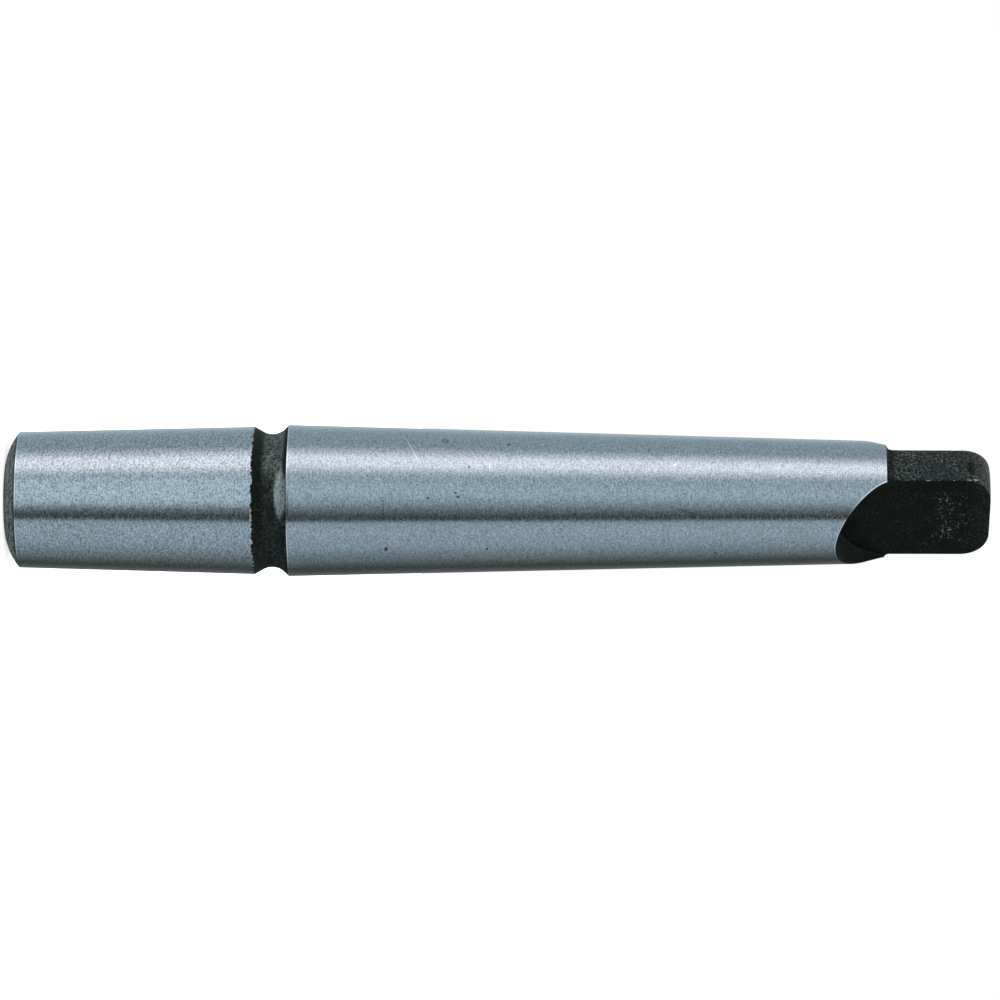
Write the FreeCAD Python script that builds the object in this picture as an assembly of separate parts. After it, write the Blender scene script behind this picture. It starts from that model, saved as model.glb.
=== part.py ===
import FreeCAD
import Part

import math
import os

# Drill chuck arbor: a tanged taper shank and a short chuck taper, turned and ground from one bar.
# Millimetres. The arbor stands on the flat end of its chuck taper, at the origin, and its axis is +Z.
# The tang is at the top, with its two flats facing -Y (front) and +Y (back).

# Chuck taper
CHUCK_TAPER_RATE = 1 / 20.020  # growth of the diameter over each millimetre of length
CHUCK_LARGE_D = 17.780  # diameter where the taper meets the neck groove
CHUCK_LENGTH = 29.9  # end face to neck groove
END_FACE_D = 10.4
END_CHAMFER_LENGTH = 1.5  # along the axis
END_CHAMFER_CROWN = 0.18  # how far the rounded chamfer stands out from a straight one

# Neck groove between the two tapers, cut by a tool with a rounded nose
GROOVE_WIDTH = 4.1
GROOVE_CHUCK_ANGLE = 30.0  # wall on the side of the chuck taper, from the axis
GROOVE_SHANK_ANGLE = 45.0  # wall on the side of the shank taper, from the axis
GROOVE_NOSE_R = 2.2
GROOVE_EDGE_BREAK = 0.08

# Shank taper
SHANK_TAPER_RATE = 1 / 20.020
SHANK_GAUGE_D = 17.780  # diameter at the gauge plane
SHANK_RUN_OUT = 9.2  # ground taper between the neck groove and the gauge plane
SHANK_GAUGE_TO_END = 75.0  # gauge plane to the end of the tang

# Tang
TANG_LENGTH = 12.5  # end of the ground taper to the end of the tang
TANG_STEP = 0.32  # drop in radius from the small end of the ground taper to the tang
TANG_THICKNESS = 4.9
TANG_CORNER_R = 3.3
TANG_ROOT_R = 0.8

# Flats of the tang, milled with an end mill that leaves a half-round wall in the taper
CUTTER_OVERLAP = 0.22  # how far the cutter reaches past each long edge of the flat
CUTTER_CORNER_R = 0.4
FRONT_CUT_REACH = 11.8  # end of the tang to where the cutter's axis stops, front flat
BACK_CUT_REACH = 10.6

# Centre holes, for turning and grinding between centres
CENTRE_ANGLE = 60.0
DRILL_POINT_ANGLE = 118.0
CHUCK_CENTRE_D = 3.15
CHUCK_CENTRE_MOUTH_D = 6.7
CHUCK_CENTRE_PILOT = 3.0
TANG_CENTRE_D = 1.6
TANG_CENTRE_MOUTH_D = 3.35
TANG_CENTRE_PILOT = 1.6

CLEAR = 2.0  # how far a cutting tool runs past the metal

SHANK_START_Z = CHUCK_LENGTH + GROOVE_WIDTH
GAUGE_Z = SHANK_START_Z + SHANK_RUN_OUT
LENGTH = GAUGE_Z + SHANK_GAUGE_TO_END
TANG_START_Z = LENGTH - TANG_LENGTH
SHANK_SMALL_R = (SHANK_GAUGE_D - (TANG_START_Z - GAUGE_Z) * SHANK_TAPER_RATE) / 2
TANG_R = SHANK_SMALL_R - TANG_STEP
FLAT_HALF_WIDTH = math.sqrt(TANG_R**2 - (TANG_THICKNESS / 2) ** 2)
CUTTER_R = FLAT_HALF_WIDTH + CUTTER_OVERLAP

ORIGIN = FreeCAD.Vector(0, 0, 0)
AXIS = FreeCAD.Vector(0, 0, 1)
ACROSS = FreeCAD.Vector(1, 0, 0)


def at(radius, z):
    """A point of the half section, which lies in the XZ plane."""
    return FreeCAD.Vector(radius, 0, z)


def line(start, end):
    """A straight edge."""
    return Part.LineSegment(start, end).toShape()


def arc(start, middle, end):
    """A round edge through three points."""
    return Part.Arc(start, middle, end).toShape()


def turned(edges):
    """The solid that a closed half section sweeps out around the axis."""
    return Part.Face(Part.Wire(edges)).revolve(ORIGIN, AXIS, 360)


def chuck_radius(z):
    """Radius of the chuck taper at a height."""
    return (CHUCK_LARGE_D - (CHUCK_LENGTH - z) * CHUCK_TAPER_RATE) / 2


def shank_radius(z):
    """Radius of the shank taper at a height."""
    return (SHANK_GAUGE_D - (z - GAUGE_Z) * SHANK_TAPER_RATE) / 2


def end_chamfer():
    """The crowned chamfer from the end face to the chuck taper."""
    face = at(END_FACE_D / 2, 0)
    rim = at(chuck_radius(END_CHAMFER_LENGTH), END_CHAMFER_LENGTH)
    chord = rim - face
    outward = at(chord.z, -chord.x) / chord.Length
    return arc(face, face + chord / 2 + outward * END_CHAMFER_CROWN, rim)


def neck_groove(chuck_edge, shank_edge):
    """The groove's two straight walls and the round floor between them."""
    chuck_angle = math.radians(GROOVE_CHUCK_ANGLE)
    shank_angle = math.radians(GROOVE_SHANK_ANGLE)
    slopes = math.tan(chuck_angle) + math.tan(shank_angle)
    drop = chuck_edge.x - shank_edge.x + math.tan(shank_angle) * (shank_edge.z - chuck_edge.z)
    apex_run = drop / slopes
    apex = at(chuck_edge.x - apex_run * math.tan(chuck_angle), chuck_edge.z + apex_run)
    to_chuck = at(math.sin(chuck_angle), -math.cos(chuck_angle))
    to_shank = at(math.sin(shank_angle), math.cos(shank_angle))
    half_turn = (chuck_angle + shank_angle) / 2
    floor_start = apex + to_chuck * (GROOVE_NOSE_R * math.tan(half_turn))
    floor_end = apex + to_shank * (GROOVE_NOSE_R * math.tan(half_turn))
    inward = (to_chuck + to_shank).normalize()
    floor_middle = apex + inward * (GROOVE_NOSE_R / math.cos(half_turn) - GROOVE_NOSE_R)
    return [
        line(chuck_edge, floor_start),
        arc(floor_start, floor_middle, floor_end),
        line(floor_end, shank_edge),
    ]


def tang_root(step):
    """The hollow from the end of the ground taper down to the tang."""
    sweep = math.acos((TANG_ROOT_R - TANG_STEP) / TANG_ROOT_R)
    foot = at(TANG_R, step.z + TANG_ROOT_R * math.sin(sweep))
    middle = at(
        TANG_R + TANG_ROOT_R * (1 - math.cos(sweep / 2)),
        foot.z - TANG_ROOT_R * math.sin(sweep / 2),
    )
    return arc(step, middle, foot), foot


def tang_corner():
    """The turned corner at the end of the tang."""
    start = at(TANG_R, LENGTH - TANG_CORNER_R)
    end = at(TANG_R - TANG_CORNER_R, LENGTH)
    lean = TANG_CORNER_R * math.sqrt(0.5)
    return start, arc(start, at(end.x + lean, start.z + lean), end), end


def turned_body():
    """The bar as it leaves the lathe and the grinder."""
    chamfer = end_chamfer()
    chuck_edge = at(chuck_radius(CHUCK_LENGTH), CHUCK_LENGTH)
    shank_edge = at(shank_radius(SHANK_START_Z), SHANK_START_Z)
    step = at(SHANK_SMALL_R, TANG_START_Z)
    root, root_foot = tang_root(step)
    corner_start, corner, corner_end = tang_corner()
    outline = [
        line(at(0, 0), at(END_FACE_D / 2, 0)),
        chamfer,
        line(chamfer.Vertexes[-1].Point, chuck_edge),
        *neck_groove(chuck_edge, shank_edge),
        line(shank_edge, step),
        root,
        line(root_foot, corner_start),
        corner,
        line(corner_end, at(0, LENGTH)),
        line(at(0, LENGTH), at(0, 0)),
    ]
    return turned(outline)


def break_groove_edges(body):
    """Takes the sharp corner off both edges of the neck groove."""
    rings = [
        edge
        for edge in body.Edges
        if isinstance(edge.Curve, Part.Circle)
        and any(abs(edge.Curve.Center.z - z) < 1e-6 for z in (CHUCK_LENGTH, SHANK_START_Z))
    ]
    return body.makeChamfer(GROOVE_EDGE_BREAK, rings)


def centre_hole(bore_d, mouth_d, pilot):
    """The metal a centre drill takes out, with its mouth at the origin and its point up."""
    half_angle = math.tan(math.radians(CENTRE_ANGLE / 2))
    cone = (mouth_d - bore_d) / 2 / half_angle
    tip = bore_d / 2 / math.tan(math.radians(DRILL_POINT_ANGLE / 2))
    outline = [
        at(0, -CLEAR),
        at(mouth_d / 2 + CLEAR * half_angle, -CLEAR),
        at(bore_d / 2, cone),
        at(bore_d / 2, cone + pilot),
        at(0, cone + pilot + tip),
    ]
    return turned([line(a, b) for a, b in zip(outline, outline[1:] + outline[:1])])


def flat_cut(reach):
    """The metal an end mill takes off the back of the tang, down to the flat."""
    stop = LENGTH - reach
    far = LENGTH + CLEAR
    flat_y = TANG_THICKNESS / 2

    def on_flat(x, z):
        return FreeCAD.Vector(x, flat_y, z)

    outline = Part.Wire(
        [
            arc(on_flat(-CUTTER_R, stop), on_flat(0, stop - CUTTER_R), on_flat(CUTTER_R, stop)),
            line(on_flat(CUTTER_R, stop), on_flat(CUTTER_R, far)),
            line(on_flat(CUTTER_R, far), on_flat(-CUTTER_R, far)),
            line(on_flat(-CUTTER_R, far), on_flat(-CUTTER_R, stop)),
        ]
    )
    swept = Part.Face(outline).extrude(FreeCAD.Vector(0, SHANK_GAUGE_D, 0))
    wall_foot = [
        edge
        for edge in swept.Edges
        if edge.BoundBox.YLength < 1e-6
        and abs(edge.BoundBox.YMin - flat_y) < 1e-6
        and edge.BoundBox.ZMin < far - CLEAR
    ]
    return swept.makeFillet(CUTTER_CORNER_R, wall_foot)


def arbor():
    """The finished arbor, one solid."""
    body = break_groove_edges(turned_body())
    body = body.cut(centre_hole(CHUCK_CENTRE_D, CHUCK_CENTRE_MOUTH_D, CHUCK_CENTRE_PILOT))
    tang_centre = centre_hole(TANG_CENTRE_D, TANG_CENTRE_MOUTH_D, TANG_CENTRE_PILOT)
    tang_centre.rotate(ORIGIN, ACROSS, 180)
    tang_centre.translate(at(0, LENGTH))
    body = body.cut(tang_centre)
    front_cut = flat_cut(FRONT_CUT_REACH)
    front_cut.rotate(ORIGIN, AXIS, 180)
    return body.cut(front_cut).cut(flat_cut(BACK_CUT_REACH))


def main():
    """Builds the arbor and writes its STEP file."""
    os.makedirs("parts", exist_ok=True)
    solid = arbor().Solids[0]
    box = solid.BoundBox
    print(f"valid {solid.isValid()}, volume {solid.Volume:.1f} mm3")
    print(f"box {box.XLength:.3f} x {box.YLength:.3f} x {box.ZLength:.3f} mm")
    solid.exportStep("parts/arbor.step")


main()
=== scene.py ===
"""Studio scene of a drill chuck arbor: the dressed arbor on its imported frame, a pale floor and soft light."""

import logging
import math
from dataclasses import dataclass, field
from enum import Enum

import bmesh
import bpy
from mathutils import Matrix, Vector


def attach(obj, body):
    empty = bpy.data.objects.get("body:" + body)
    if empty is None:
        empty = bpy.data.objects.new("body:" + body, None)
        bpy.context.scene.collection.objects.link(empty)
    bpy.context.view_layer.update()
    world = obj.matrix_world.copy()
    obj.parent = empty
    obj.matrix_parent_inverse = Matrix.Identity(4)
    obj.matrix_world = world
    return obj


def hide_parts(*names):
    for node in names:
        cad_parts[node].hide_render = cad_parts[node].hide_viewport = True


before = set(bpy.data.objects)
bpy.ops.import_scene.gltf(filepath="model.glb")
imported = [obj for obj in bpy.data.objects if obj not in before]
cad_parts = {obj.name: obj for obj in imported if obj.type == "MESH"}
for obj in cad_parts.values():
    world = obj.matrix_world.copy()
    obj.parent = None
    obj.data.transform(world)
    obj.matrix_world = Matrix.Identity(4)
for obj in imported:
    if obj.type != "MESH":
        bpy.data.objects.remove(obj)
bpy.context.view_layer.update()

logging.basicConfig(level=logging.INFO, format="%(message)s")
log = logging.getLogger("arbor")

MM = 0.001
VIEW_TURN = math.radians(222.0)  # direction of the photograph's camera round the axis, from +X
ROUND_CHORDS = 96  # chords of the studio's round shapes

Colour = tuple[float, float, float]
Band = tuple[float, float]  # where a smooth step starts and ends


class Tone(Enum):
    """How a mark on the ground steel looks against it."""

    DARK = "dark"
    BRIGHT = "bright"


@dataclass(frozen=True)
class Texture:
    """A noise pattern: cells per metre across and along the axis, octaves and the finer ones' weight."""

    across: float
    along: float
    detail: float = 2.0
    rough: float = 0.6


class Flow:
    """A number that varies over a surface: a socket that takes part in Python sums."""

    def __init__(self, board: "Board", socket: bpy.types.NodeSocket) -> None:
        """Keeps the socket and the board it is on.

        Args:
            board: The node board.
            socket: The output that carries the number.
        """
        self.board = board
        self.socket = socket

    def __add__(self, other: "Flow | float") -> "Flow":
        """self + other."""
        return self.board.maths("ADD", self, other)

    __radd__ = __add__

    def __sub__(self, other: "Flow | float") -> "Flow":
        """self - other."""
        return self.board.maths("SUBTRACT", self, other)

    def __rsub__(self, other: float) -> "Flow":
        """other - self."""
        return self.board.maths("SUBTRACT", other, self)

    def __mul__(self, other: "Flow | float") -> "Flow":
        """self * other."""
        return self.board.maths("MULTIPLY", self, other)

    __rmul__ = __mul__

    def __truediv__(self, other: "Flow | float") -> "Flow":
        """self / other."""
        return self.board.maths("DIVIDE", self, other)

    def __pow__(self, power: float) -> "Flow":
        """self to a power."""
        return self.board.maths("POWER", self, power)

    def __abs__(self) -> "Flow":
        """The size of self without its sign."""
        return self.board.maths("ABSOLUTE", self)

    def either(self, other: "Flow") -> "Flow":
        """The larger of two."""
        return self.board.maths("MAXIMUM", self, other)

    def rise(self, start: float, end: float) -> "Flow":
        """A smooth step from 0 where self is start to 1 where it is end.

        Args:
            start: The value that gives 0.
            end: The value that gives 1.

        Returns:
            The step.
        """
        low, high = (start, end) if start < end else (end, start)
        step = self.board.node(
            "ShaderNodeMapRange",
            {"interpolation_type": "SMOOTHSTEP", "clamp": True},
            {"Value": self, "From Min": low, "From Max": high},
        )
        out = Flow(self.board, step.outputs["Result"])
        return out if start < end else 1 - out


class Board:
    """The node board of one finish."""

    def __init__(self, tree: bpy.types.NodeTree) -> None:
        """Empties the tree it works on.

        Args:
            tree: The node tree of a material or world.
        """
        self.tree = tree
        tree.nodes.clear()

    def node(self, kind: str, settings: dict | None = None, sockets: dict | None = None) -> bpy.types.Node:
        """Adds one node.

        Args:
            kind: The node's type name.
            settings: Attributes to set first; "stops" holds the places and colours of a ramp.
            sockets: Values or links of its inputs, by name or index.

        Returns:
            The node.
        """
        made = self.tree.nodes.new(kind)
        for name, value in (settings or {}).items():
            if name == "stops":
                self._set_stops(made.color_ramp, value)
            else:
                setattr(made, name, value)
        for key, value in (sockets or {}).items():
            if isinstance(value, Flow):
                self.tree.links.new(value.socket, made.inputs[key])
            elif isinstance(value, bpy.types.NodeSocket):
                self.tree.links.new(value, made.inputs[key])
            else:
                made.inputs[key].default_value = value
        return made

    @staticmethod
    def _set_stops(ramp: bpy.types.ColorRamp, stops: list[tuple[float, Colour]]) -> None:
        """Gives a ramp its stops."""
        while len(ramp.elements) < len(stops):
            ramp.elements.new(1.0)
        for element, (place, colour) in zip(ramp.elements, stops):
            element.position = place
            element.color = (*colour, 1.0)

    def maths(self, operation: str, *values: "Flow | float") -> Flow:
        """Adds one Math node.

        Args:
            operation: The node's operation.
            values: Its inputs in order.

        Returns:
            Its result.
        """
        made = self.node("ShaderNodeMath", {"operation": operation}, dict(enumerate(values)))
        return Flow(self, made.outputs[0])

    def blend(self, share: "Flow | float", first: object, second: object) -> bpy.types.NodeSocket:
        """Mixes two colours.

        Args:
            share: How much of the second colour shows.
            first: A colour or a colour socket.
            second: A colour or a colour socket.

        Returns:
            The mixed colour's socket.
        """
        pair = [(*c, 1.0) if isinstance(c, tuple) else c for c in (first, second)]
        made = self.node("ShaderNodeMix", {"data_type": "RGBA"}, {0: share, 6: pair[0], 7: pair[1]})
        return made.outputs[2]

    def noise(self, texture: Texture) -> Flow:
        """Noise in the piece's own coordinates.

        Args:
            texture: The pattern's fineness and octaves.

        Returns:
            The noise, about 0.5 on average.
        """
        cells = (texture.across, texture.across, texture.along)
        place = self.node("ShaderNodeMapping", {}, {"Vector": self.coordinates(), "Scale": cells})
        made = self.node(
            "ShaderNodeTexNoise",
            {"noise_dimensions": "3D"},
            {
                "Vector": place.outputs[0],
                "Scale": 1.0,
                "Detail": texture.detail,
                "Roughness": texture.rough,
            },
        )
        return Flow(self, made.outputs["Fac"])

    def bump(self, texture: Texture, height: float) -> bpy.types.NodeSocket:
        """Fine relief.

        Args:
            texture: The relief's pattern.
            height: The relief's height in metres.

        Returns:
            The bumped normal's socket.
        """
        sockets = {"Strength": 1.0, "Distance": height, "Height": self.noise(texture)}
        return self.node("ShaderNodeBump", {}, sockets).outputs[0]

    def coordinates(self) -> bpy.types.NodeSocket:
        """The piece's own coordinates in metres."""
        return self.node("ShaderNodeTexCoord").outputs["Object"]

    def xyz(self) -> tuple[Flow, Flow, Flow]:
        """The three coordinates apart."""
        parts = self.node("ShaderNodeSeparateXYZ", {}, {0: self.coordinates()})
        return tuple(Flow(self, parts.outputs[i]) for i in range(3))


def towards_view(x: Flow, y: Flow) -> Flow:
    """How far a place lies from the axis towards the photograph's camera."""
    return x * math.cos(VIEW_TURN) + y * math.sin(VIEW_TURN)


def across_view(x: Flow, y: Flow) -> Flow:
    """How far a place lies above the axis in the photograph."""
    return x * math.sin(VIEW_TURN) - y * math.cos(VIEW_TURN)


@dataclass(frozen=True)
class ArborSizes:
    """Sizes of the arbor in metres, the same as in the CAD source."""

    taper_rate: float = 1 / 20.020
    large_radius: float = 8.89 * MM
    chuck_length: float = 29.9 * MM
    end_face_radius: float = 5.2 * MM
    chamfer_length: float = 1.5 * MM
    chamfer_crown: float = 0.18 * MM
    groove_width: float = 4.1 * MM
    groove_chuck_angle: float = math.radians(30)
    groove_shank_angle: float = math.radians(45)
    groove_nose: float = 2.2 * MM
    groove_break: float = 0.08 * MM
    run_out: float = 9.2 * MM
    gauge_to_end: float = 75.0 * MM
    tang_length: float = 12.5 * MM
    tang_step: float = 0.32 * MM
    tang_thickness: float = 4.9 * MM
    tang_corner: float = 3.3 * MM
    tang_root: float = 0.8 * MM
    cutter_overlap: float = 0.22 * MM
    cutter_corner: float = 0.4 * MM
    front_reach: float = 11.8 * MM
    back_reach: float = 10.6 * MM
    chuck_centre: tuple[float, float, float] = (1.575 * MM, 3.35 * MM, 3.0 * MM)
    tang_centre: tuple[float, float, float] = (0.8 * MM, 1.675 * MM, 1.6 * MM)
    centre_half_angle: float = math.radians(30)
    drill_half_angle: float = math.radians(59)

    @property
    def shank_start(self) -> float:
        """Height of the shank taper's large end."""
        return self.chuck_length + self.groove_width

    @property
    def gauge_height(self) -> float:
        """Height of the shank's gauge plane."""
        return self.shank_start + self.run_out

    @property
    def length(self) -> float:
        """The whole length."""
        return self.gauge_height + self.gauge_to_end

    @property
    def tang_start(self) -> float:
        """Height where the ground taper ends."""
        return self.length - self.tang_length

    @property
    def tang_radius(self) -> float:
        """Radius of the tang's turned edges."""
        return self.shank_radius(self.tang_start) - self.tang_step

    @property
    def cutter_radius(self) -> float:
        """Radius of the end mill that made the half-round walls."""
        return math.sqrt(self.tang_radius**2 - (self.tang_thickness / 2) ** 2) + self.cutter_overlap

    def chuck_radius(self, z: float) -> float:
        """Radius of the chuck taper at height z."""
        return self.large_radius - (self.chuck_length - z) * self.taper_rate / 2

    def shank_radius(self, z: float) -> float:
        """Radius of the shank taper at height z."""
        return self.large_radius - (z - self.gauge_height) * self.taper_rate / 2


Point = tuple[float, float]


def sweep(centre: Point, radius: float, start: float, end: float, steps: int) -> list[Point]:
    """Points along an arc of the half section.

    Args:
        centre: Radius and height of the arc's centre.
        radius: The arc's radius.
        start: Start angle, from the outward direction towards the tang.
        end: End angle.
        steps: Number of chords.

    Returns:
        The points, both ends included.
    """
    angles = [start + (end - start) * i / steps for i in range(steps + 1)]
    return [(centre[0] + radius * math.cos(a), centre[1] + radius * math.sin(a)) for a in angles]


@dataclass
class Arbor:
    """The arbor: one turned and ground bar with a milled tang."""

    sizes: ArborSizes = field(default_factory=ArborSizes)
    turns: int = 384
    chamfer_chords: int = 12
    groove_chords: int = 20
    root_chords: int = 5
    corner_chords: int = 16
    cutter_chords: int = 128
    foot_chords: int = 4
    crisp_angle: float = math.radians(12)
    touch: float = 1e-7

    def centre_hole(self, hole: tuple[float, float, float], mouth_height: float, inward: int) -> list[Point]:
        """Section of a centre hole from its tip to its mouth.

        Args:
            hole: Bore radius, mouth radius and pilot length.
            mouth_height: Height of the mouth.
            inward: 1 if the hole runs up from its mouth, -1 if it runs down.

        Returns:
            The points from the axis to the mouth.
        """
        bore, mouth, pilot = hole
        cone = (mouth - bore) / math.tan(self.sizes.centre_half_angle)
        tip = bore / math.tan(self.sizes.drill_half_angle)
        depths = [(0.0, cone + pilot + tip), (bore, cone + pilot), (bore, cone), (mouth, 0.0)]
        return [(r, mouth_height + inward * depth) for r, depth in depths]

    def chamfer(self) -> list[Point]:
        """Section of the crowned chamfer, from the end face to the chuck taper."""
        s = self.sizes
        rim = Vector((s.chuck_radius(s.chamfer_length), s.chamfer_length))
        face = Vector((s.end_face_radius, 0.0))
        chord = rim - face
        outward = Vector((chord.y, -chord.x)).normalized()
        half_turn = 2 * math.atan(2 * s.chamfer_crown / chord.length)
        radius = chord.length / (2 * math.sin(half_turn))
        centre = face + chord / 2 - outward * (radius - s.chamfer_crown)
        middle = math.atan2(outward.y, outward.x)
        return sweep(tuple(centre), radius, middle - half_turn, middle + half_turn, self.chamfer_chords)

    def groove(self) -> list[Point]:
        """Section of the neck groove, from the chuck taper's edge to the shank taper's."""
        s = self.sizes
        left = (s.chuck_radius(s.chuck_length), s.chuck_length)
        right = (s.shank_radius(s.shank_start), s.shank_start)
        a, b = s.groove_chuck_angle, s.groove_shank_angle
        run = (left[0] - right[0] + math.tan(b) * s.groove_width) / (math.tan(a) + math.tan(b))
        apex = (left[0] - run * math.tan(a), left[1] + run)
        reach = s.groove_nose / math.cos((a + b) / 2)
        lean = (b - a) / 2
        centre = (apex[0] + reach * math.cos(lean), apex[1] - reach * math.sin(lean))
        floor = sweep(centre, s.groove_nose, math.pi + a, math.pi - b, self.groove_chords)
        cut = s.groove_break
        return [
            (s.chuck_radius(left[1] - cut), left[1] - cut),
            (left[0] - cut * math.sin(a), left[1] + cut * math.cos(a)),
            *floor,
            (right[0] - cut * math.sin(b), right[1] - cut * math.cos(b)),
            (s.shank_radius(right[1] + cut), right[1] + cut),
        ]

    def tang_end(self) -> list[Point]:
        """Section from the end of the ground taper over the tang's corner to its end face."""
        s = self.sizes
        turn = math.acos(1 - s.tang_step / s.tang_root)
        foot = s.tang_start + s.tang_root * math.sin(turn)
        hollow = (s.tang_radius + s.tang_root, foot)
        root = sweep(hollow, s.tang_root, math.pi + turn, math.pi, self.root_chords)
        middle = (s.tang_radius - s.tang_corner, s.length - s.tang_corner)
        return root + sweep(middle, s.tang_corner, 0.0, math.pi / 2, self.corner_chords)

    def section(self) -> list[Point]:
        """The whole half section, from the lower centre hole's tip to the upper one's."""
        s = self.sizes
        return [
            *self.centre_hole(s.chuck_centre, 0.0, 1),
            *self.chamfer(),
            *self.groove(),
            *self.tang_end(),
            *reversed(self.centre_hole(s.tang_centre, s.length, -1)),
        ]

    def turn_bar(self) -> bpy.types.Object:
        """Spins the half section into the bar, before its flats are milled.

        Returns:
            The closed bar.
        """
        mesh = bmesh.new()
        points = [mesh.verts.new((r, 0.0, z)) for r, z in self.section()]
        edges = [mesh.edges.new(pair) for pair in zip(points, points[1:])]
        bmesh.ops.spin(
            mesh,
            geom=points + edges,
            axis=(0, 0, 1),
            cent=(0, 0, 0),
            angle=math.tau,
            steps=self.turns,
            use_merge=True,
        )
        bmesh.ops.remove_doubles(mesh, verts=mesh.verts, dist=self.touch)
        bmesh.ops.recalc_face_normals(mesh, faces=mesh.faces)
        return self.to_object(mesh, "arbor_body")

    def cutter(self, reach: float, side: int) -> bpy.types.Object:
        """The metal that the end mill takes off one side of the tang.

        Args:
            reach: Distance from the tang's end to the cutter's axis where it stops.
            side: -1 for the front flat, 1 for the back one.

        Returns:
            A closed slab with a half-round end and a rounded foot.
        """
        s = self.sizes
        flat = s.tang_thickness / 2
        stop = s.length - reach
        upright = Matrix.Rotation(math.pi / 2, 3, "X")
        half_turn = Matrix.Rotation(math.pi, 3, "Z")
        mesh = bmesh.new()
        ring = bmesh.ops.create_circle(
            mesh, cap_ends=True, radius=s.cutter_radius, segments=self.cutter_chords
        )["verts"]
        bmesh.ops.rotate(mesh, verts=ring, cent=(0, 0, 0), matrix=upright)
        for vert in ring:
            if vert.co.z > self.touch:
                vert.co.z = s.tang_length + reach
        bmesh.ops.translate(mesh, verts=ring, vec=(0, flat, stop))
        top = bmesh.ops.extrude_face_region(mesh, geom=mesh.faces[:])
        moved = [v for v in top["geom"] if isinstance(v, bmesh.types.BMVert)]
        bmesh.ops.translate(mesh, verts=moved, vec=(0, s.large_radius * 2, 0))
        foot = [
            e
            for e in mesh.edges
            if all(abs(v.co.y - flat) < self.touch for v in e.verts)
            and min(v.co.z for v in e.verts) < s.length
        ]
        bmesh.ops.bevel(
            mesh,
            geom=foot,
            offset=s.cutter_corner,
            offset_type="OFFSET",
            affect="EDGES",
            segments=self.foot_chords,
            profile=0.5,
            material=-1,
        )
        if side < 0:
            bmesh.ops.rotate(mesh, verts=mesh.verts, cent=(0, 0, 0), matrix=half_turn)
        bmesh.ops.recalc_face_normals(mesh, faces=mesh.faces)
        return self.to_object(mesh, "cutter_front" if side < 0 else "cutter_back")

    @staticmethod
    def to_object(mesh: bmesh.types.BMesh, name: str) -> bpy.types.Object:
        """Makes an object of a finished bmesh.

        Args:
            mesh: The bmesh, which is freed.
            name: The object's name.

        Returns:
            The object, linked to the scene.
        """
        data = bpy.data.meshes.new(name)
        mesh.to_mesh(data)
        mesh.free()
        made = bpy.data.objects.new(name, data)
        bpy.context.scene.collection.objects.link(made)
        return made

    def mill_flats(self, bar: bpy.types.Object) -> None:
        """Takes both flats off the bar and keeps the result as its mesh.

        Args:
            bar: The turned bar.
        """
        cutters = [self.cutter(self.sizes.front_reach, -1), self.cutter(self.sizes.back_reach, 1)]
        for tool in cutters:
            cut = bar.modifiers.new(tool.name, "BOOLEAN")
            cut.object = tool
            cut.operation = "DIFFERENCE"
            cut.solver = "EXACT"
        shaped = bar.evaluated_get(bpy.context.evaluated_depsgraph_get())
        milled = bpy.data.meshes.new_from_object(shaped)
        bar.modifiers.clear()
        bar.data = milled
        for tool in cutters:
            bpy.data.objects.remove(tool)

    def soften(self, bar: bpy.types.Object) -> None:
        """Closes stray gaps, smooths the shading and keeps real corners crisp.

        Args:
            bar: The milled bar.
        """
        mesh = bmesh.new()
        mesh.from_mesh(bar.data)
        bmesh.ops.remove_doubles(mesh, verts=mesh.verts, dist=self.touch * 10)
        for face in mesh.faces:
            face.smooth = True
        for edge in mesh.edges:
            edge.smooth = len(edge.link_faces) == 2 and edge.calc_face_angle(0.0) < self.crisp_angle
        mesh.to_mesh(bar.data)
        mesh.free()

    def build(self) -> bpy.types.Object:
        """Makes the arbor and puts it in the frame's place.

        Returns:
            The finished piece.
        """
        bar = self.turn_bar()
        self.mill_flats(bar)
        self.soften(bar)
        bar.data.materials.clear()
        bar.data.materials.append(ArborFinish().material(self.sizes))
        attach(bar, "root")
        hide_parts("arbor")
        return bar


@dataclass(frozen=True)
class Mark:
    """A small scratch, pit or nick on the side of the arbor that the photograph shows, in millimetres; also the
    spot of a painted reflection and a gap in a painted highlight.
    """

    height: float
    across: float
    half_length: float
    half_width: float
    lean: float = 0.0
    tone: Tone = Tone.DARK
    strength: float = 0.85

    def mask(self, across: Flow, z: Flow) -> Flow:
        """Where the mark lies.

        Args:
            across: Distance across the photograph's view, in metres.
            z: Height, in metres.

        Returns:
            The mark's strength on it and 0 off it.
        """
        turn = math.radians(self.lean)
        rise, shift = z - self.height * MM, across - self.across * MM
        along = (rise * math.cos(turn) + shift * math.sin(turn)) / (self.half_length * MM)
        beside = (shift * math.cos(turn) - rise * math.sin(turn)) / (self.half_width * MM)
        return ((along * along + beside * beside) ** 0.5).rise(1.3, 0.6) * self.strength


def join_marks(board: Board, marks: list[Mark]) -> Flow:
    """Where any of some marks lies, on the side that the photograph shows.

    Args:
        board: The finish's node board.
        marks: The marks.

    Returns:
        The strength of the mark at each place, 0 off them.
    """
    x, y, z = board.xyz()
    across = across_view(x, y)
    joined = marks[0].mask(across, z)
    for mark in marks[1:]:
        joined = joined.either(mark.mask(across, z))
    return joined * towards_view(x, y).rise(0.5 * MM, 1.5 * MM)


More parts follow.
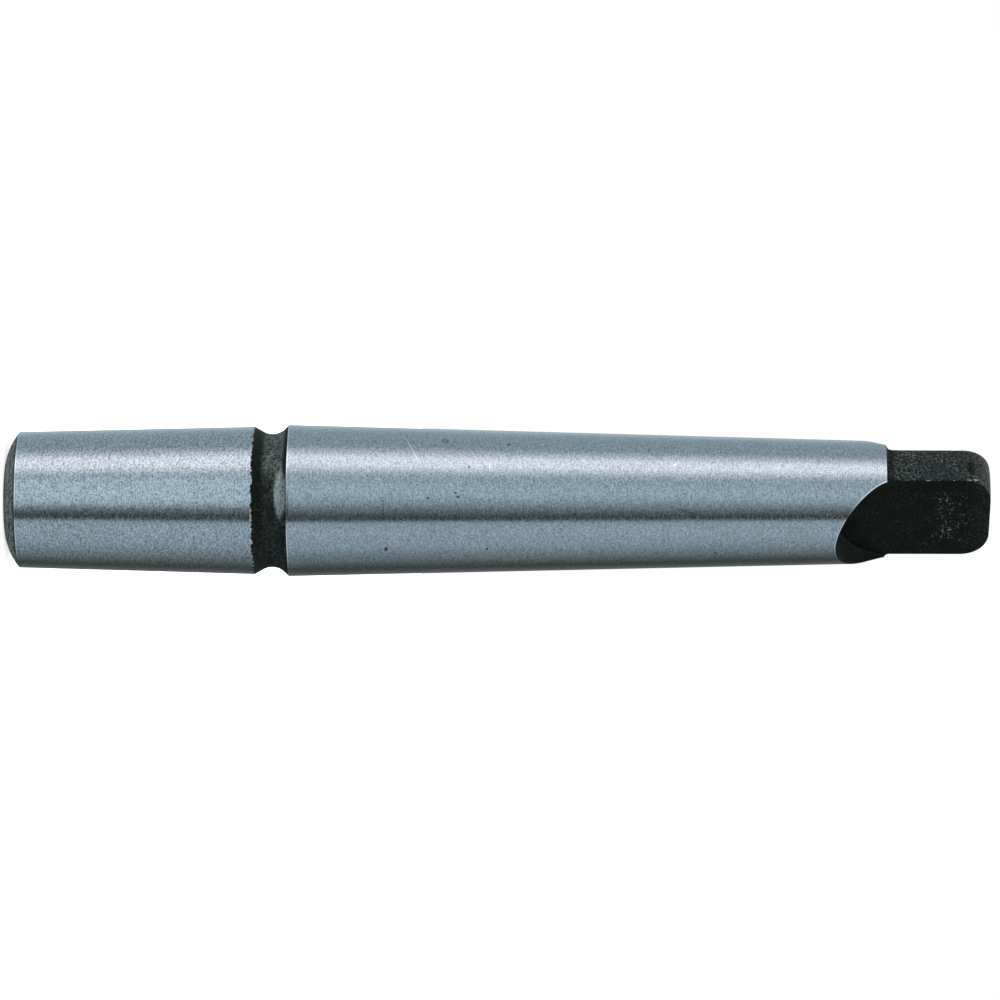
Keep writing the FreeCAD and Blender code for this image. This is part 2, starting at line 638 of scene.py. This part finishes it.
@dataclass(frozen=True)
class GroundSteel:
    """Hardened steel as the grinding wheel leaves it: fine grain, faint rings and the marks of handling."""

    colour: Colour = (0.3, 0.342, 0.378)
    pit: Colour = (0.035, 0.04, 0.042)
    # bright steel of polished scratches, also used for the painted edge highlights
    polish_and_highlight: Colour = (0.66, 0.69, 0.72)
    heated: Colour = (0.19, 0.225, 0.21)
    grain: float = 0.5
    chuck_grain: float = 0.35
    specks: Texture = Texture(4700, 4700, 3.0, 0.75)
    rings: Texture = Texture(1500, 8000)
    patches: Texture = Texture(140, 140, 3.0)
    shares: tuple[float, float, float] = (0.62, 0.28, 0.1)
    contrast: Band = (0.34, 0.66)
    relief: Texture = Texture(3300, 4200)
    relief_height: float = 0.0045 * MM
    heat: float = 0.6
    # strength of the painted edge highlights
    highlight_strength: float = 0.85
    roughness: float = 0.1
    roughening: tuple[float, float, float] = (0.07, 0.05, 0.2)
    marks: tuple[Mark, ...] = (
        Mark(49.1, 6.1, 1.55, 0.055, -60, Tone.BRIGHT, 0.75),
        Mark(52.94, 7.18, 0.38, 0.3, 0, Tone.DARK, 0.6),
        Mark(52.94, 7.18, 0.2, 0.16, 0, Tone.BRIGHT, 0.25),
        Mark(60.61, 6.78, 0.26, 0.1),
        Mark(64.8, 7.46, 0.12, 0.07),
        Mark(55.91, 4.06, 0.13, 0.16, 30),
        Mark(54.64, 0.48, 0.22, 0.15),
        Mark(54.34, 0.96, 0.16, 0.13),
        Mark(51.08, 0.35, 0.2, 0.13),
        Mark(46.6, 0.85, 0.12, 0.1, 0, Tone.DARK, 0.7),
        Mark(43.83, 2.98, 0.13, 0.11, 0, Tone.DARK, 0.7),
        Mark(53.8, 6.72, 0.26, 0.08, -40, Tone.DARK, 0.4),
        Mark(46, -5.75, 0.19, 0.27, -20, Tone.DARK, 0.95),
        Mark(58.05, -5.71, 0.15, 0.12),
        Mark(67.26, -2.93, 0.1, 0.1),
        Mark(85.27, -6.12, 0.15, 0.09),
        Mark(58.4, 4.07, 0.06, 0.52, 0, Tone.BRIGHT),
        Mark(45.72, -0.8, 0.07, 1.4, 0, Tone.DARK, 0.65),
        Mark(34.28, -0.3, 0.22, 1.6, 0, Tone.DARK, 0.45),
        Mark(80.45, 4.37, 0.2, 0.1, 0, Tone.BRIGHT),
        Mark(81.35, -0.98, 0.6, 0.07, -22, Tone.DARK, 0.7),
        Mark(82.5, -1.36, 0.65, 0.07, -11, Tone.DARK, 0.7),
    )

    def shader(self, board: Board, sizes: ArborSizes, rim: Flow, covered: Flow) -> bpy.types.NodeSocket:
        """The steel's shader.

        Args:
            board: The finish's node board.
            sizes: The arbor's sizes.
            rim: 1 along the edges where a highlight is painted in bright steel colour.
            covered: 1 where scale lies on the steel or heat has darkened it.

        Returns:
            The shader's socket.
        """
        speck = board.noise(self.specks).rise(*self.contrast)
        ring = board.noise(self.rings).rise(*self.contrast)
        of_specks, of_rings, of_patches = self.shares
        level = speck * of_specks + ring * of_rings + board.noise(self.patches) * of_patches
        _, _, z = board.xyz()
        on_chuck = z.rise(sizes.shank_start, sizes.chuck_length)
        level = (level - 0.5) * (1.0 + self.chuck_grain * on_chuck) + 0.5
        dull, bright = (tuple(c * (1 + side * self.grain) for c in self.colour) for side in (-1, 1))
        colour = board.blend(level, dull, bright)
        for tone, paint in ((Tone.DARK, self.pit), (Tone.BRIGHT, self.polish_and_highlight)):
            marks = [mark for mark in self.marks if mark.tone is tone]
            colour = board.blend(join_marks(board, marks), colour, paint)
        colour = board.blend(covered * self.heat, colour, self.heated)
        # painted highlight: bright steel colour laid along the edge rims
        colour = board.blend(rim * self.highlight_strength, colour, self.polish_and_highlight)
        by_rings, by_specks, by_heat = self.roughening
        made = board.node(
            "ShaderNodeBsdfPrincipled",
            {},
            {
                "Base Color": colour,
                "Metallic": 1.0,
                "Roughness": self.roughness + by_rings * ring + by_specks * speck + by_heat * covered,
                "Normal": board.bump(self.relief, self.relief_height),
            },
        )
        return made.outputs[0]


@dataclass(frozen=True)
class BlackScale:
    """The black scale of hardening: smooth on the milled flats, greyer and speckled on turned surfaces."""

    milled: Colour = (0.0016, 0.0038, 0.0028)
    # lighter scale of the half-round walls, as painted light
    wall: Colour = (0.0145, 0.0205, 0.0185)
    turned: Colour = (0.029, 0.038, 0.036)
    dust: Colour = (0.142, 0.172, 0.164)
    # pale grey scale, also used for painted sheen, light and a reflection
    pale_scale_and_sheen: Colour = (0.36, 0.425, 0.41)
    fleck: Colour = (0.12, 0.145, 0.138)
    specks: Texture = Texture(3300, 3300, 3.0, 0.8)
    clouds: Texture = Texture(420, 420, 3.0, 0.65)
    blows: Texture = Texture(2500, 2500)
    lathe_rings: Texture = Texture(700, 6500)
    turned_step: Band = (0.36, 0.6)
    dust_step: Band = (0.52, 0.66)
    dust_clouds: Band = (0.35, 0.6)
    flat_dust: float = 0.15
    turned_dust: float = 0.65
    mottle_shares: tuple[float, float, float] = (0.45, 0.35, 0.2)
    mottle_step: Band = (0.43, 0.57)
    fleck_step: Band = (0.54, 0.72)
    fleck_clouds: Band = (0.42, 0.6)
    crust: Texture = Texture(2200, 2200, 3.0, 0.7)
    crust_height: float = 0.03 * MM
    roughness: float = 0.5
    cloud_roughness: float = 0.2
    gloss: float = 0.06

    def shader(
        self, board: Board, turned: Flow, wall: Flow, pale: Flow, scuffed: Flow
    ) -> bpy.types.NodeSocket:
        """The scale's shader.

        Args:
            board: The finish's node board.
            turned: 1 where the surface was turned and 0 where it was milled, lowered in the groove as painted
                shade.
            wall: 1 on the half-round walls of the tang, which get a lighter scale colour as painted light.
            pale: 1 where the scale is thin and grey, and where sheen, light and a reflection are painted in
                grey.
            scuffed: 1 where the scale is flecked by small blows.

        Returns:
            The shader's socket.
        """
        speck = board.noise(self.specks)
        cloud = board.noise(self.clouds)
        blow = board.noise(self.blows)
        of_specks, of_blows, of_rings = self.mottle_shares
        mottle = speck * of_specks + blow * of_blows + board.noise(self.lathe_rings) * of_rings
        colour = board.blend(wall, self.milled, self.wall)
        colour = board.blend(turned * speck.rise(*self.turned_step), colour, self.turned)
        dusty = speck.rise(*self.dust_step) * (self.flat_dust + self.turned_dust * turned)
        colour = board.blend(dusty * cloud.rise(*self.dust_clouds), colour, self.dust)
        mottled = 0.08 + 0.9 * mottle.rise(*self.mottle_step)
        # pale grey scale, with painted sheen, light and reflection where pale is raised
        colour = board.blend(pale * mottled, colour, self.pale_scale_and_sheen)
        flecked = scuffed * blow.rise(*self.fleck_step) * cloud.rise(*self.fleck_clouds)
        colour = board.blend(flecked, colour, self.fleck)
        made = board.node(
            "ShaderNodeBsdfPrincipled",
            {},
            {
                "Base Color": colour,
                "Metallic": 0.0,
                "Roughness": self.roughness + self.cloud_roughness * cloud,
                "Specular IOR Level": self.gloss,
                "Normal": board.bump(self.crust, self.crust_height),
            },
        )
        return made.outputs[0]


class Places:
    """Where the arbor's surfaces begin and end, worked out on one finish's board."""

    def __init__(self, board: Board, sizes: ArborSizes, climb: float, fray: Flow) -> None:
        """Works out what several masks share.

        Args:
            board: The finish's node board.
            sizes: The arbor's sizes, which say where each surface ends.
            climb: How far the scale's borders run up on the side that the photograph shows.
            fray: How far the groove's lower border runs down, place by place.
        """
        self.board = board
        self.sizes = sizes
        self.x, self.y, self.z = board.xyz()
        climbed = towards_view(self.x, self.y).rise(0.0, 7 * MM) * climb
        self.past_end = self.z - sizes.chamfer_length - climbed * 0.8
        self.past_chuck = self.z + fray - sizes.chuck_length - climbed * 0.4
        self.past_neck = self.z - sizes.shank_start - climbed
        self.above_chuck = self.step(sizes.chuck_length, 0.6, 0.61)
        self.at_end = self.past_end.rise(-0.1 * MM, -0.28 * MM)
        lower, upper = self.step(sizes.shank_start, -3.2, -2.2), self.step(sizes.shank_start, -0.2, -0.5)
        self.in_groove = lower * upper
        self.on_tang = self.step(sizes.gauge_height, 20, 20.1)
        self.on_edge = self.step_out(-0.02, -0.04)
        self.past_root = self.step(sizes.tang_start, 0.5, 1.2)

    def step(self, height: float, start: float, end: float) -> Flow:
        """A smooth step upwards.

        Args:
            height: The height in metres that the step is measured from.
            start: Where it is 0, in millimetres above that height.
            end: Where it is 1, in millimetres above that height.

        Returns:
            The step.
        """
        return self.z.rise(height + start * MM, height + end * MM)

    def step_out(self, start: float, end: float) -> Flow:
        """A smooth step away from the tang's flats.

        Args:
            start: Where it is 0, in millimetres outwards from the flats.
            end: Where it is 1, in millimetres outwards from the flats.

        Returns:
            The step.
        """
        flat = self.sizes.tang_thickness / 2
        return abs(self.y).rise(flat + start * MM, flat + end * MM)

    def depth(self) -> Flow:
        """How deep a place lies under the taper it belongs to.

        Returns:
            The depth in metres.
        """
        slope = self.sizes.taper_rate / 2
        inward = (self.x * self.x + self.y * self.y) ** 0.5 * -1
        chuck = inward + (self.z - self.sizes.chuck_length) * slope + self.sizes.large_radius
        shank = inward + (self.z - self.sizes.gauge_height) * -slope + self.sizes.large_radius
        return chuck * (1 - self.above_chuck) + shank * self.above_chuck


@dataclass(frozen=True)
class ArborFinish:
    """Ground steel on the two tapers, black scale on the end, the groove and the tang."""

    steel: GroundSteel = field(default_factory=GroundSteel)
    scale: BlackScale = field(default_factory=BlackScale)
    bare_edge: float = 0.03 * MM
    run_out: float = 0.13 * MM
    ragged: float = 0.24 * MM
    rim: float = 0.1 * MM
    burrs: Texture = Texture(1700, 1700, 2.0, 0.7)
    burr_step: Band = (0.32, 0.68)
    rubbing: Texture = Texture(1900, 2600, 3.0, 0.75)
    thinned: tuple[float, float, float] = (0.06, 0.08, 0.06)
    # share of scale taken off at the painted reflection spot
    spot_bared_share: float = 0.75
    heated_band: float = 0.8
    wall_painted_light: float = 0.62
    # paleness of the end chamfer at its foot and border, raised as painted light
    end_pale_and_painted_light: Band = (2.5, 0.6)
    # painted sheen on the groove's upper side
    groove_painted_sheen: float = 0.28
    # the spot in the groove where a reflection is painted
    painted_reflection_spot: Mark = Mark(33.38, 0.75, 0.7, 2.6, 0, Tone.BRIGHT, 1.0)
    # where the painted highlight on the shank's edge is left out
    highlight_gap: Mark = Mark(34.1, -0.6, 0.5, 3.0, 0, Tone.DARK, 0.85)
    smudge: Mark = Mark(115.8, 4.15, 0.5, 0.95, 0, Tone.DARK, 0.8)
    nicks: tuple[Mark, ...] = (
        Mark(115.6, 2.66, 0.26, 0.07, 0, Tone.BRIGHT, 0.7),
        Mark(116.3, 2.68, 0.3, 0.09, -10, Tone.BRIGHT, 0.95),
        Mark(110.6, 2.6, 0.28, 0.06, 0, Tone.BRIGHT, 0.6),
        Mark(113.7, 2.62, 0.16, 0.05, 0, Tone.BRIGHT, 0.5),
    )

    def black(self, places: Places) -> Flow:
        """Where black scale lies: under the tapers' surface, on the chamfer, in the groove and on the tang.

        Args:
            places: The arbor's places.

        Returns:
            1 on the scale and 0 on ground steel.
        """
        sizes = places.sizes
        neck = places.step(sizes.chuck_length, -0.6, -0.59) * places.step(sizes.shank_start, 0.6, 0.59)
        below = places.depth().rise(self.bare_edge, self.bare_edge * 1.3) * (1 - neck)
        groove = neck * places.past_chuck.rise(0.1 * MM, 0.13 * MM)
        groove = groove * places.past_neck.rise(0.02 * MM, -0.02 * MM)
        tang = places.step(sizes.tang_start, 0.0, 0.03)
        chamfer = places.past_end.rise(0.0, -0.03 * MM)
        return below.either(groove).either(tang).either(chamfer)

    def cover(self, places: Places, black: Flow, reflection_spot: Flow, rubbed: Flow) -> Flow:
        """How much of the scale is left.

        Args:
            places: The arbor's places.
            black: 1 where scale lies.
            reflection_spot: 1 on the spot in the groove where a reflection is painted.
            rubbed: The pattern of the wear.

        Returns:
            1 where the scale is whole and 0 where the steel is bare.
        """
        at_end, in_groove, at_tip = self.thinned
        thin = at_end * places.at_end + in_groove * places.in_groove
        thin = thin + at_tip * places.step(places.sizes.length, -2.6, -0.6)
        kept = black * (1 - thin * rubbed.rise(0.36, 0.62))
        # painted reflection spot: the scale is taken off so the steel shows
        kept = kept * (1 - self.spot_bared_share * reflection_spot * rubbed.rise(0.36, 0.56))
        return kept * (1 - join_marks(places.board, list(self.nicks)))

    def turned(self, places: Places) -> Flow:
        """Where the scale is grey, as on turned steel, and darker in the groove as painted shade.

        Args:
            places: The arbor's places.

        Returns:
            1 on grey scale and 0 on the flats and in the groove's painted-shade part.
        """
        chuck_length, on_tang = places.sizes.chuck_length, places.on_tang
        # painted shade: the groove's scale is darker, less so towards its shank side, which is painted light
        lit = places.step(chuck_length, 1.9, 2.9)
        shaded = places.step(chuck_length, -0.5, 0.0) * (0.95 - 0.2 * lit)
        smudged = join_marks(places.board, [self.smudge])
        edge = on_tang * places.on_edge * (0.12 + 0.88 * places.past_root) * (1 - smudged)
        return (1 - on_tang) * (1 - shaded) + edge

    def scuffed(self, places: Places) -> Flow:
        """Where small blows have flecked the scale: along the tang's corners and near its end.

        Args:
            places: The arbor's places.

        Returns:
            1 where it is flecked most.
        """
        length, on_tang = places.sizes.length, places.on_tang
        corner = on_tang * places.on_edge * places.past_root * places.step_out(-0.2, -0.06)
        struck = places.step(length, -8, -5.5) * places.step(length, -1.6, -3)
        struck = struck * on_tang * (1 - places.on_edge)
        return corner * 0.8 + struck * (places.x * places.x).rise((5 * MM) ** 2, (3 * MM) ** 2)

    def pale(self, places: Places) -> Flow:
        """Where the scale is pale: thin grey scale round the end face, brightened towards its foot as painted
        light, and a painted sheen on the groove's upper side.

        Args:
            places: The arbor's places.

        Returns:
            How pale it is, more than 1 at the very foot.
        """
        # painted sheen: the groove's upper side made paler
        upper_side_sheen = across_view(places.x, places.y).rise(1.5 * MM, 4.5 * MM)
        foot, border = self.end_pale_and_painted_light
        # painted light: the end chamfer made paler towards its foot
        at_end = places.at_end * (foot - (foot - border) * places.step(0.0, 0.0, 1.0))
        return at_end + self.groove_painted_sheen * places.in_groove * upper_side_sheen

    def painted_edge_highlights(self, places: Places, rubbed: Flow) -> Flow:
        """The painted highlights: thin bright rims of the half-round walls, the shank's large end and the
        chamfer.

        Args:
            places: The arbor's places.
            rubbed: The pattern of the wear.

        Returns:
            1 on the brightest painted highlight and 0 off the rims.
        """
        sizes, past_neck = places.sizes, places.past_neck
        back = places.y.rise(-0.01 * MM, 0.01 * MM)
        stop = sizes.length - sizes.front_reach + back * (sizes.front_reach - sizes.back_reach)
        above = places.z - stop
        from_cutter = (places.x * places.x + above * above) ** 0.5 - sizes.cutter_radius
        # painted highlight along the rims of the half-round walls
        walls = from_cutter.rise(self.rim, self.rim * 0.7) * places.on_tang
        # painted highlight along the shank taper's edge at the groove
        shank_edge_highlight = past_neck.rise(self.rim * 1.3, self.rim) * past_neck.rise(-0.1 * MM, -0.06 * MM)
        shank_edge_highlight = shank_edge_highlight * (1 - join_marks(places.board, [self.highlight_gap])) * (0.6 + 0.4 * rubbed.rise(0.4, 0.6))
        return walls.either(shank_edge_highlight).either(places.past_end.rise(self.rim, self.rim * 0.7) * 0.75)

    def material(self, sizes: ArborSizes) -> bpy.types.Material:
        """The finish as one material.

        Args:
            sizes: The arbor's sizes, which say where each surface ends.

        Returns:
            The material.
        """
        made = bpy.data.materials.new("arbor_steel")
        made.use_nodes = True
        board = Board(made.node_tree)
        burr = board.noise(self.burrs).rise(*self.burr_step)
        places = Places(board, sizes, self.run_out, burr * self.ragged)
        rubbed = board.noise(self.rubbing)
        black = self.black(places)
        # painted reflection: a spot in the groove made bare and pale
        reflection_spot = join_marks(board, [self.painted_reflection_spot]) * places.step(sizes.shank_start, 0.08, -0.06)
        heated = places.past_chuck.rise(-0.02 * MM, 0.04 * MM) * (1 - places.above_chuck) * self.heated_band
        # painted edge highlights, only where the steel is bare
        rim = self.painted_edge_highlights(places, rubbed) * (1 - black)
        # painted light: the half-round walls get lighter scale to offset the shade at their foot
        wall = self.wall_painted_light * places.step_out(0.0, 0.25) * places.on_tang
        pale = self.pale(places) + reflection_spot
        both = board.node(
            "ShaderNodeMixShader",
            {},
            {
                0: self.cover(places, black, reflection_spot, rubbed),
                1: self.steel.shader(board, sizes, rim, black.either(heated)),
                2: self.scale.shader(board, self.turned(places), wall, pale, self.scuffed(places)),
            },
        )
        board.node("ShaderNodeOutputMaterial", {}, {0: both.outputs[0]})
        return made


@dataclass(frozen=True)
class Tent:
    """The round tent that the steel mirrors: white cloth, a lit panel, a dark gap and white ends.

    The stops give the cloth's brightness by the angle round the axis from the camera, in degrees.
    """

    radius: float = 1.3
    height: float = 2.6
    cloth: Colour = (0.72, 0.87, 0.93)
    shade: Colour = (0.93, 0.98, 0.84)
    panel: Colour = (0.98, 0.95, 0.97)
    near_end: Colour = (1.12, 1.32, 1.42)
    ends: Colour = (1.25, 1.27, 1.3)
    panel_light: float = 1.7
    panel_start: Band = (37, 54)
    panel_stop: Band = (96, 71)
    card: float = 0.85
    card_top: Band = (-0.02, -0.1)
    card_sides: tuple[Band, Band] = ((-0.36, 0.0), (0.95, 0.6))
    card_front: Band = (-0.3, 0.0)
    end_start: Band = (0.4, 0.6)
    stops: tuple[tuple[float, float], ...] = (
        (-180, 0.3),
        (-131, 0.12),
        (-117, 0.25),
        (-105, 0.44),
        (-95, 0.58),
        (-86, 0.72),
        (-74, 0.9),
        (-52, 1.0),
        (-37, 0.98),
        (-34, 0.86),
        (-31, 0.1),
        (-24, 0.14),
        (-15, 0.41),
        (-5, 0.75),
        (5, 1.06),
        (15, 1.2),
        (28, 1.06),
        (43, 1.0),
        (95, 0.85),
        (138, 0.82),
        (158, 0.92),
        (180, 0.25),
    )

    def tint(self, level: float) -> Colour:
        """The cloth's colour at a brightness: the darker, the less blue.

        Args:
            level: The brightness, 1 for plainly lit cloth.

        Returns:
            The colour.
        """
        share = min(1.0, 1.6 * level)
        return tuple(level * (dark + (lit - dark) * share) for dark, lit in zip(self.shade, self.cloth))

    @staticmethod
    def turn(degrees: float) -> float:
        """An angle from the camera as a share of the whole turn that starts behind the arbor."""
        return degrees / 360 + 0.5

    def build(self) -> bpy.types.Object:
        """Makes the tent's wall and lights it.

        Returns:
            The tent.
        """
        mesh = bmesh.new()
        bmesh.ops.create_cone(
            mesh,
            cap_ends=True,
            cap_tris=True,
            segments=ROUND_CHORDS,
            radius1=self.radius,
            radius2=self.radius,
            depth=self.height,
        )
        tent = Arbor.to_object(mesh, "tent")
        made = bpy.data.materials.new("tent_cloth")
        made.use_nodes = True
        board = Board(made.node_tree)
        x, y, z = board.xyz()
        along, across = towards_view(x, y), across_view(x, y)
        turn = board.maths("ARCTAN2", across, along) / math.tau + 0.5
        ramp = board.node(
            "ShaderNodeValToRGB",
            {"stops": [(self.turn(place), self.tint(level)) for place, level in self.stops]},
            {0: turn},
        )
        lit = turn.rise(*map(self.turn, self.panel_start)) * turn.rise(*map(self.turn, self.panel_stop))
        colour = board.blend(lit, ramp.outputs[0], tuple(c * self.panel_light for c in self.panel))
        low, high = self.card_sides
        facing = across.rise(*low) * across.rise(*high) * along.rise(*self.card_front)
        colour = board.blend(z.rise(*self.card_top) * facing * self.card, colour, self.near_end)
        colour = board.blend(z.rise(*self.end_start), colour, self.ends)
        glow = board.node("ShaderNodeEmission", {}, {"Color": colour, "Strength": 1.0})
        board.node("ShaderNodeOutputMaterial", {}, {0: glow.outputs[0]})
        tent.data.materials.append(made)
        tent.visible_camera = False
        return tent


@dataclass(frozen=True)
class Studio:
    """Floor, backdrop, soft light and camera."""

    distance: float = 722.5 * MM
    aim_height: float = 59.42 * MM
    tilt: float = math.radians(1.5)
    lean: float = math.radians(0.17)
    rise: float = 0.14 * MM
    lens: float = 216.0
    sensor: float = 36.0
    floor_radius: float = 1.28
    floor_colour: Colour = (0.8, 0.8, 0.8)
    floor_glow: Band = (0.7, 1.0)
    glow_reach: Band = (0.02, 0.2)
    softbox_turn: float = math.radians(64.5)
    softbox_size: tuple[float, float] = (0.3, 1.2)
    softbox_distance: float = 0.85
    softbox_height: float = 0.4
    softbox_level: float = 0.45

    def camera(self) -> bpy.types.Object:
        """Places the camera as in the photograph, on its side, so that the arbor lies across the picture.

        Returns:
            The camera.
        """
        outward = Vector((math.cos(VIEW_TURN), math.sin(VIEW_TURN), 0.0))
        upright = Vector((0.0, 0.0, 1.0))
        back = outward * math.cos(self.tilt) + upright * math.sin(self.tilt)
        right = upright * math.cos(self.tilt) - outward * math.sin(self.tilt)
        up = back.cross(right)
        x_axis = right * math.cos(self.lean) + up * math.sin(self.lean)
        y_axis = up * math.cos(self.lean) - right * math.sin(self.lean)
        turn = Matrix((x_axis, y_axis, back)).transposed().to_4x4()
        data = bpy.data.cameras.new("camera")
        data.lens = self.lens
        data.sensor_width = self.sensor
        made = bpy.data.objects.new("camera", data)
        place = Vector((0.0, 0.0, self.aim_height)) + back * self.distance + y_axis * self.rise
        made.matrix_world = Matrix.Translation(place) @ turn
        bpy.context.scene.collection.objects.link(made)
        bpy.context.scene.camera = made
        return made

    def world(self) -> None:
        """A white backdrop all round."""
        sky = bpy.data.worlds.new("backdrop")
        sky.use_nodes = True
        board = Board(sky.node_tree)
        white = board.node("ShaderNodeBackground", {}, {"Color": (1.0, 1.0, 1.0, 1.0), "Strength": 1.0})
        board.node("ShaderNodeOutputWorld", {}, {0: white.outputs[0]})
        bpy.context.scene.world = sky

    def floor(self) -> bpy.types.Object:
        """The pale floor, which shows white to the camera and keeps the arbor's shadow.

        Returns:
            The floor.
        """
        mesh = bmesh.new()
        bmesh.ops.create_circle(mesh, cap_ends=True, radius=self.floor_radius, segments=ROUND_CHORDS)
        made = Arbor.to_object(mesh, "floor")
        paint = bpy.data.materials.new("floor_paint")
        paint.use_nodes = True
        board = Board(paint.node_tree)
        rays = board.node("ShaderNodeLightPath")
        pale = board.node("ShaderNodeBsdfDiffuse", {}, {"Color": (*self.floor_colour, 1.0)})
        x, y, _ = board.xyz()
        reach = (x * x + y * y) ** 0.5
        under, away = self.floor_glow
        glow = under + (away - under) * reach.rise(*self.glow_reach)
        seen = Flow(board, rays.outputs["Is Camera Ray"]) * glow
        lift = board.node("ShaderNodeEmission", {}, {"Color": (1, 1, 1, 1), "Strength": seen})
        total = board.node("ShaderNodeAddShader", {}, {0: pale.outputs[0], 1: lift.outputs[0]})
        board.node("ShaderNodeOutputMaterial", {}, {0: total.outputs[0]})
        made.data.materials.append(paint)
        made.visible_glossy = False
        return made

    def softbox(self) -> bpy.types.Object:
        """The long softbox whose mirror image is the bright band.

        Returns:
            The lamp.
        """
        turn = VIEW_TURN - self.softbox_turn
        outward = Vector((math.cos(turn), math.sin(turn), 0.0))
        upright = Vector((0.0, 0.0, 1.0))
        data = bpy.data.lights.new("softbox", "AREA")
        data.shape = "RECTANGLE"
        data.size, data.size_y = self.softbox_size
        data.energy = self.softbox_level * math.pi * data.size * data.size_y
        facing = Matrix((upright.cross(outward), upright, outward)).transposed().to_4x4()
        made = bpy.data.objects.new("softbox", data)
        place = outward * self.softbox_distance + upright * self.softbox_height
        made.matrix_world = Matrix.Translation(place) @ facing
        bpy.context.scene.collection.objects.link(made)
        return made

    def build(self) -> None:
        """Sets up the whole studio."""
        self.camera()
        self.world()
        self.floor()
        self.softbox()
        Tent().build()
        bpy.context.scene.view_settings.view_transform = "Standard"


def main() -> None:
    """Builds the arbor and the studio, and reports each piece."""
    piece = Arbor().build()
    log.info("%s: %d faces", piece.name, len(piece.data.polygons))
    Studio().build()


if __name__ == "__main__":
    main()
